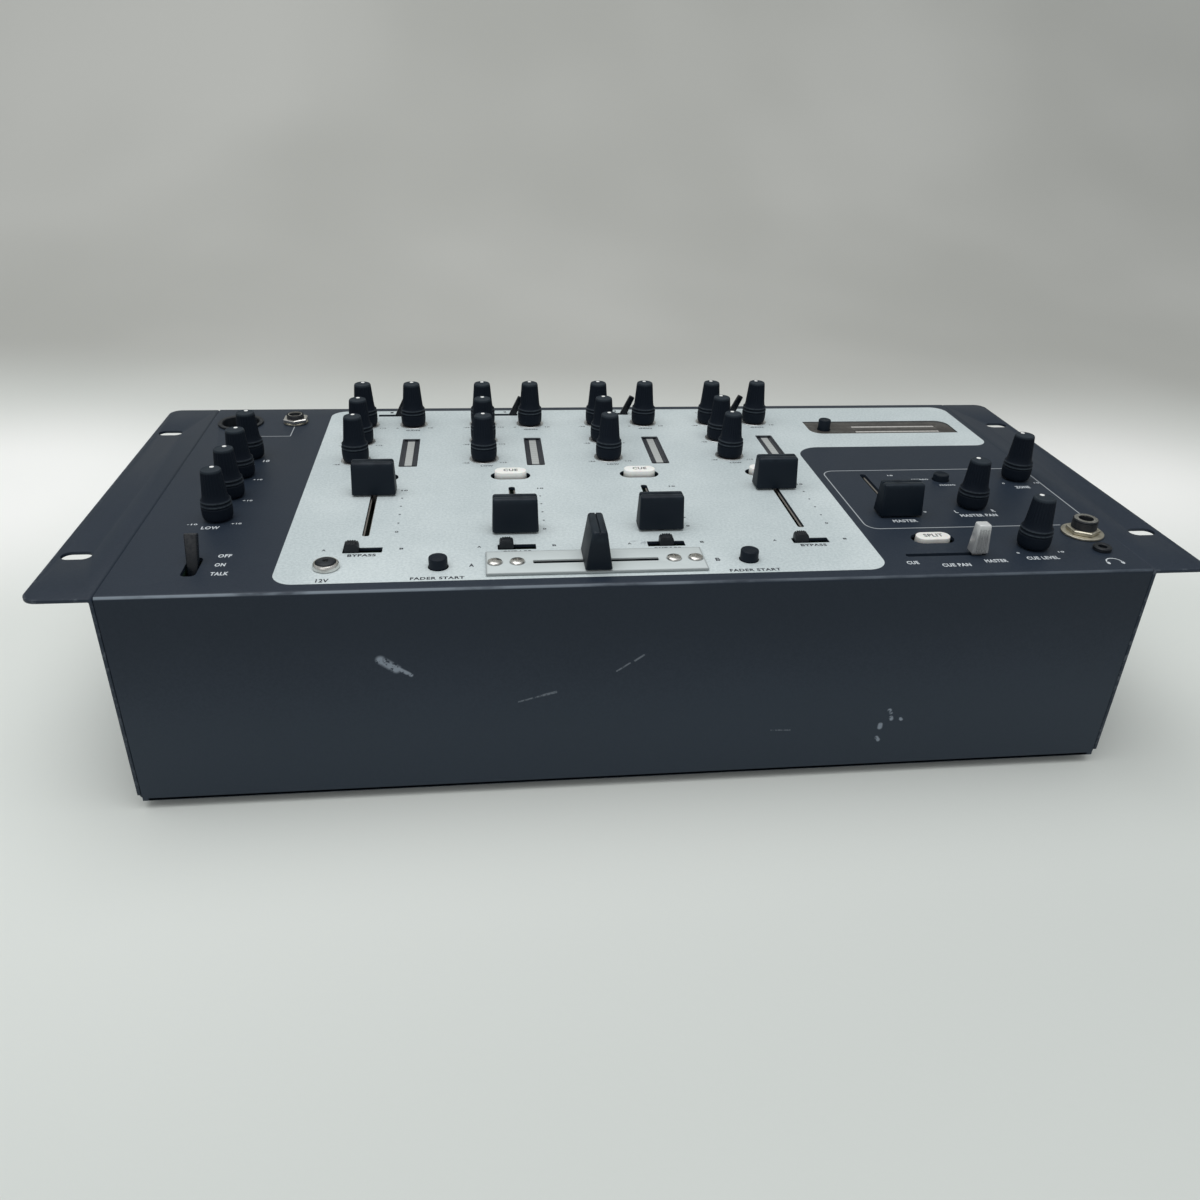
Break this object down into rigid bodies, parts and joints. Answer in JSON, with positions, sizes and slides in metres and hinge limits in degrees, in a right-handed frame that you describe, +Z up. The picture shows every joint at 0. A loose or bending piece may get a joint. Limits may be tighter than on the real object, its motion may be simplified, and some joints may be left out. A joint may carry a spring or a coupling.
{
  "type": "dj mixer",
  "caption": "Rack-mount DJ mixer: folded steel case with rack ears, rotary tone knobs, sliding faders, crossfader, cue buttons, toggles, meters and jacks.",
  "frame": {"origin": "centre of the bounding box, on the plane that the feet stand on", "axes": "+X to the right along the front panel, +Y from the front towards the rear sockets, +Z up"},
  "size_m": [0.4826, 0.2294, 0.1265],
  "materials": {
    "powder_paint": "fine-textured slate powder paint",
    "circuit_board": "glass-fibre board with moulded control bodies",
    "moulded_black": "moulded black plastic",
    "nickel_plate": "nickel plate",
    "satin_metal": "satin",
    "soft_touch_black": "matte soft-touch",
    "cap_black": "fine matte",
    "button_white": "satin moulded",
    "slider_silver": "satin silver"
  },
  "bodies": {
    "case": {"top_cover": "powder_paint", "chassis_tray": "powder_paint", "control_board": "circuit_board", "power_supply": "circuit_board", "rear_jack_board": "moulded_black", "mains_inlet": "moulded_black", "mic_combo_socket": "moulded_black", "mic_jack": "nickel_plate", "headphone_jack": "nickel_plate", "mini_headphone_jack": "moulded_black", "lamp_socket": "nickel_plate", "crossfader_plate": "satin_metal"},
    "ch1_fader": {"ch1_fader": "cap_black"},
    "ch2_fader": {"ch2_fader": "cap_black"},
    "ch3_fader": {"ch3_fader": "cap_black"},
    "ch4_fader": {"ch4_fader": "cap_black"},
    "master_fader": {"master_fader": "cap_black"},
    "crossfader": {"crossfader": "cap_black"},
    "cue_pan_slider": {"cue_pan_slider": "slider_silver"},
    "ch1_source_toggle": {"ch1_source_toggle": "cap_black"},
    "ch2_source_toggle": {"ch2_source_toggle": "cap_black"},
    "ch3_source_toggle": {"ch3_source_toggle": "cap_black"},
    "ch4_source_toggle": {"ch4_source_toggle": "cap_black"},
    "talk_toggle": {"talk_toggle": "cap_black"},
    "ch1_assign_switch": {"ch1_assign_switch": "cap_black"},
    "ch2_assign_switch": {"ch2_assign_switch": "cap_black"},
    "ch3_assign_switch": {"ch3_assign_switch": "cap_black"},
    "ch4_assign_switch": {"ch4_assign_switch": "cap_black"},
    "ch1_cue_button": {"ch1_cue_button": "button_white"},
    "ch2_cue_button": {"ch2_cue_button": "button_white"},
    "ch3_cue_button": {"ch3_cue_button": "button_white"},
    "ch4_cue_button": {"ch4_cue_button": "button_white"},
    "split_cue_button": {"split_cue_button": "button_white"},
    "fader_start_a_button": {"fader_start_a_button": "cap_black"},
    "fader_start_b_button": {"fader_start_b_button": "cap_black"},
    "mono_stereo_button": {"mono_stereo_button": "cap_black"},
    "meter_mode_button": {"meter_mode_button": "cap_black"},
    "mic_level_knob": {"mic_level_knob": "soft_touch_black"},
    "mic_high_knob": {"mic_high_knob": "soft_touch_black"},
    "mic_mid_knob": {"mic_mid_knob": "soft_touch_black"},
    "mic_low_knob": {"mic_low_knob": "soft_touch_black"},
    "ch1_gain_knob": {"ch1_gain_knob": "soft_touch_black"},
    "ch1_high_knob": {"ch1_high_knob": "soft_touch_black"},
    "ch1_mid_knob": {"ch1_mid_knob": "soft_touch_black"},
    "ch1_low_knob": {"ch1_low_knob": "soft_touch_black"},
    "ch2_gain_knob": {"ch2_gain_knob": "soft_touch_black"},
    "ch2_high_knob": {"ch2_high_knob": "soft_touch_black"},
    "ch2_mid_knob": {"ch2_mid_knob": "soft_touch_black"},
    "ch2_low_knob": {"ch2_low_knob": "soft_touch_black"},
    "ch3_gain_knob": {"ch3_gain_knob": "soft_touch_black"},
    "ch3_high_knob": {"ch3_high_knob": "soft_touch_black"},
    "ch3_mid_knob": {"ch3_mid_knob": "soft_touch_black"},
    "ch3_low_knob": {"ch3_low_knob": "soft_touch_black"},
    "ch4_gain_knob": {"ch4_gain_knob": "soft_touch_black"},
    "ch4_high_knob": {"ch4_high_knob": "soft_touch_black"},
    "ch4_mid_knob": {"ch4_mid_knob": "soft_touch_black"},
    "ch4_low_knob": {"ch4_low_knob": "soft_touch_black"},
    "master_pan_knob": {"master_pan_knob": "soft_touch_black"},
    "zone_level_knob": {"zone_level_knob": "soft_touch_black"},
    "cue_level_knob": {"cue_level_knob": "soft_touch_black"}
  },
  "joints": [
    {"name": "ch1_fader_slide", "type": "slide", "parent": "case", "child": "ch1_fader", "axis": [0, 1, 0], "range_m": [-0.0438, 0.0012]},
    {"name": "ch2_fader_slide", "type": "slide", "parent": "case", "child": "ch2_fader", "axis": [0, 1, 0], "range_m": [0, 0.045]},
    {"name": "ch3_fader_slide", "type": "slide", "parent": "case", "child": "ch3_fader", "axis": [0, 1, 0], "range_m": [0, 0.045]},
    {"name": "ch4_fader_slide", "type": "slide", "parent": "case", "child": "ch4_fader", "axis": [0, 1, 0], "range_m": [-0.0438, 0.0012]},
    {"name": "master_fader_slide", "type": "slide", "parent": "case", "child": "master_fader", "axis": [0, 1, 0], "range_m": [0, 0.045]},
    {"name": "crossfader_slide", "type": "slide", "parent": "case", "child": "crossfader", "axis": [1, 0, 0], "range_m": [-0.0225, 0.0225]},
    {"name": "cue_pan_slide", "type": "slide", "parent": "case", "child": "cue_pan_slider", "axis": [1, 0, 0], "range_m": [-0.028, 0]},
    {"name": "ch1_source_tilt", "type": "hinge", "parent": "case", "child": "ch1_source_toggle", "pos_m": [-0.11815, 0.0928, 0.0941], "axis": [0, 1, 0], "range_deg": [-50, 0]},
    {"name": "ch2_source_tilt", "type": "hinge", "parent": "case", "child": "ch2_source_toggle", "pos_m": [-0.05385, 0.0928, 0.0941], "axis": [0, 1, 0], "range_deg": [-50, 0]},
    {"name": "ch3_source_tilt", "type": "hinge", "parent": "case", "child": "ch3_source_toggle", "pos_m": [0.01045, 0.0928, 0.0941], "axis": [0, 1, 0], "range_deg": [-50, 0]},
    {"name": "ch4_source_tilt", "type": "hinge", "parent": "case", "child": "ch4_source_toggle", "pos_m": [0.07475, 0.0928, 0.0941], "axis": [0, 1, 0], "range_deg": [-50, 0]},
    {"name": "talk_tilt", "type": "hinge", "parent": "case", "child": "talk_toggle", "pos_m": [-0.184, -0.091, 0.0971], "axis": [1, 0, 0], "range_deg": [0, 40]},
    {"name": "ch1_assign_slide", "type": "slide", "parent": "case", "child": "ch1_assign_switch", "axis": [1, 0, 0], "range_m": [0, 0.0088]},
    {"name": "ch2_assign_slide", "type": "slide", "parent": "case", "child": "ch2_assign_switch", "axis": [1, 0, 0], "range_m": [0, 0.0088]},
    {"name": "ch3_assign_slide", "type": "slide", "parent": "case", "child": "ch3_assign_switch", "axis": [1, 0, 0], "range_m": [-0.0044, 0.0044]},
    {"name": "ch4_assign_slide", "type": "slide", "parent": "case", "child": "ch4_assign_switch", "axis": [1, 0, 0], "range_m": [0, 0.0088]},
    {"name": "ch1_cue_press", "type": "slide", "parent": "case", "child": "ch1_cue_button", "axis": [0, 0, -1], "range_m": [0, 0.0015], "stiffness_N_per_m": 200},
    {"name": "ch2_cue_press", "type": "slide", "parent": "case", "child": "ch2_cue_button", "axis": [0, 0, -1], "range_m": [0, 0.0015], "stiffness_N_per_m": 200},
    {"name": "ch3_cue_press", "type": "slide", "parent": "case", "child": "ch3_cue_button", "axis": [0, 0, -1], "range_m": [0, 0.0015], "stiffness_N_per_m": 200},
    {"name": "ch4_cue_press", "type": "slide", "parent": "case", "child": "ch4_cue_button", "axis": [0, 0, -1], "range_m": [0, 0.0015], "stiffness_N_per_m": 200},
    {"name": "split_cue_press", "type": "slide", "parent": "case", "child": "split_cue_button", "axis": [0, 0, -1], "range_m": [0, 0.0015], "stiffness_N_per_m": 200},
    {"name": "fader_start_a_press", "type": "slide", "parent": "case", "child": "fader_start_a_button", "axis": [0, 0, -1], "range_m": [0, 0.0015], "stiffness_N_per_m": 200},
    {"name": "fader_start_b_press", "type": "slide", "parent": "case", "child": "fader_start_b_button", "axis": [0, 0, -1], "range_m": [0, 0.0015], "stiffness_N_per_m": 200},
    {"name": "mono_stereo_press", "type": "slide", "parent": "case", "child": "mono_stereo_button", "axis": [0, 0, -1], "range_m": [0, 0.0012], "stiffness_N_per_m": 200},
    {"name": "meter_mode_press", "type": "slide", "parent": "case", "child": "meter_mode_button", "axis": [0, 0, -1], "range_m": [0, 0.0015], "stiffness_N_per_m": 200},
    {"name": "mic_level_turn", "type": "hinge", "parent": "case", "child": "mic_level_knob", "pos_m": [-0.1835, 0.0307, 0.1031], "axis": [0, 0, 1], "range_deg": [-150, 150]},
    {"name": "mic_high_turn", "type": "hinge", "parent": "case", "child": "mic_high_knob", "pos_m": [-0.1835, 0.0057, 0.1031], "axis": [0, 0, 1], "range_deg": [-150, 150]},
    {"name": "mic_mid_turn", "type": "hinge", "parent": "case", "child": "mic_mid_knob", "pos_m": [-0.1835, -0.0194, 0.1031], "axis": [0, 0, 1], "range_deg": [-150, 150]},
    {"name": "mic_low_turn", "type": "hinge", "parent": "case", "child": "mic_low_knob", "pos_m": [-0.1835, -0.0445, 0.1031], "axis": [0, 0, 1], "range_deg": [-150, 150]},
    {"name": "ch1_gain_turn", "type": "hinge", "parent": "case", "child": "ch1_gain_knob", "pos_m": [-0.10475, 0.077, 0.1031], "axis": [0, 0, 1], "range_deg": [-150, 150]},
    {"name": "ch1_high_turn", "type": "hinge", "parent": "case", "child": "ch1_high_knob", "pos_m": [-0.1309, 0.077, 0.1031], "axis": [0, 0, 1], "range_deg": [-150, 150]},
    {"name": "ch1_mid_turn", "type": "hinge", "parent": "case", "child": "ch1_mid_knob", "pos_m": [-0.1309, 0.0503, 0.1031], "axis": [0, 0, 1], "range_deg": [-150, 150]},
    {"name": "ch1_low_turn", "type": "hinge", "parent": "case", "child": "ch1_low_knob", "pos_m": [-0.1309, 0.0236, 0.1031], "axis": [0, 0, 1], "range_deg": [-150, 150]},
    {"name": "ch2_gain_turn", "type": "hinge", "parent": "case", "child": "ch2_gain_knob", "pos_m": [-0.04045, 0.077, 0.1031], "axis": [0, 0, 1], "range_deg": [-150, 150]},
    {"name": "ch2_high_turn", "type": "hinge", "parent": "case", "child": "ch2_high_knob", "pos_m": [-0.0666, 0.077, 0.1031], "axis": [0, 0, 1], "range_deg": [-150, 150]},
    {"name": "ch2_mid_turn", "type": "hinge", "parent": "case", "child": "ch2_mid_knob", "pos_m": [-0.0666, 0.0503, 0.1031], "axis": [0, 0, 1], "range_deg": [-150, 150]},
    {"name": "ch2_low_turn", "type": "hinge", "parent": "case", "child": "ch2_low_knob", "pos_m": [-0.0666, 0.0236, 0.1031], "axis": [0, 0, 1], "range_deg": [-150, 150]},
    {"name": "ch3_gain_turn", "type": "hinge", "parent": "case", "child": "ch3_gain_knob", "pos_m": [0.02385, 0.077, 0.1031], "axis": [0, 0, 1], "range_deg": [-150, 150]},
    {"name": "ch3_high_turn", "type": "hinge", "parent": "case", "child": "ch3_high_knob", "pos_m": [-0.0023, 0.077, 0.1031], "axis": [0, 0, 1], "range_deg": [-150, 150]},
    {"name": "ch3_mid_turn", "type": "hinge", "parent": "case", "child": "ch3_mid_knob", "pos_m": [-0.0023, 0.0503, 0.1031], "axis": [0, 0, 1], "range_deg": [-150, 150]},
    {"name": "ch3_low_turn", "type": "hinge", "parent": "case", "child": "ch3_low_knob", "pos_m": [-0.0023, 0.0236, 0.1031], "axis": [0, 0, 1], "range_deg": [-150, 150]},
    {"name": "ch4_gain_turn", "type": "hinge", "parent": "case", "child": "ch4_gain_knob", "pos_m": [0.08815, 0.077, 0.1031], "axis": [0, 0, 1], "range_deg": [-150, 150]},
    {"name": "ch4_high_turn", "type": "hinge", "parent": "case", "child": "ch4_high_knob", "pos_m": [0.062, 0.077, 0.1031], "axis": [0, 0, 1], "range_deg": [-150, 150]},
    {"name": "ch4_mid_turn", "type": "hinge", "parent": "case", "child": "ch4_mid_knob", "pos_m": [0.062, 0.0503, 0.1031], "axis": [0, 0, 1], "range_deg": [-150, 150]},
    {"name": "ch4_low_turn", "type": "hinge", "parent": "case", "child": "ch4_low_knob", "pos_m": [0.062, 0.0236, 0.1031], "axis": [0, 0, 1], "range_deg": [-150, 150]},
    {"name": "master_pan_turn", "type": "hinge", "parent": "case", "child": "master_pan_knob", "pos_m": [0.164, -0.0463, 0.1031], "axis": [0, 0, 1], "range_deg": [-150, 150]},
    {"name": "zone_level_turn", "type": "hinge", "parent": "case", "child": "zone_level_knob", "pos_m": [0.2028, -0.013, 0.1031], "axis": [0, 0, 1], "range_deg": [-150, 150]},
    {"name": "cue_level_turn", "type": "hinge", "parent": "case", "child": "cue_level_knob", "pos_m": [0.1723, -0.0904, 0.1031], "axis": [0, 0, 1], "range_deg": [-150, 150]}
  ]
}
